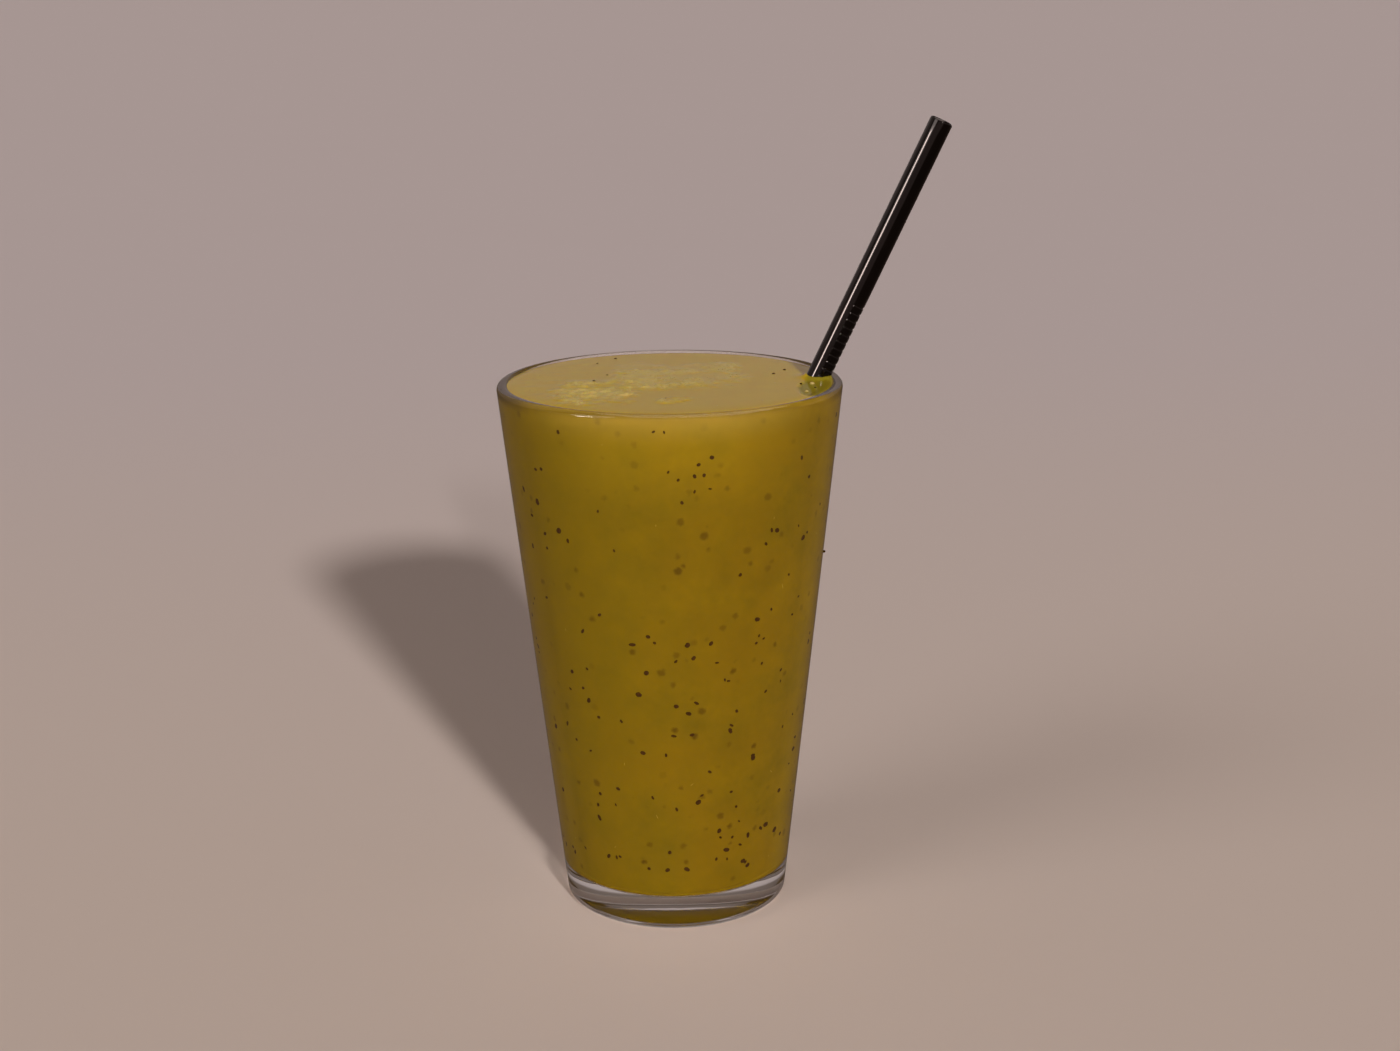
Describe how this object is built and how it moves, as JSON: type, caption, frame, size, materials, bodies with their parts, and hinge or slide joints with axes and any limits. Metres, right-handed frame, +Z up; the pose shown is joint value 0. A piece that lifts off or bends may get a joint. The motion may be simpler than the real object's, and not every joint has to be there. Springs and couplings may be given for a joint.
{
  "type": "mixed fruit drink in a glass with a straw",
  "caption": "Thick yellow fruit drink with seeds and foam, filled to the brim of a tapered clear glass, with a grooved steel straw leaning on the lip.",
  "frame": {"origin": "on the glass's axis, in the plane of the flat ring that the glass stands on", "axes": "+Z up along the glass's axis, +X towards the side that the straw leans to, in the XZ plane"},
  "size_m": [0.1165, 0.0888, 0.2062],
  "materials": {
    "glass": "gloss",
    "drink": "gloss",
    "straw": "polished"
  },
  "bodies": {
    "root": {"glass": "glass", "drink": "drink", "straw": "straw"}
  },
  "joints": []
}
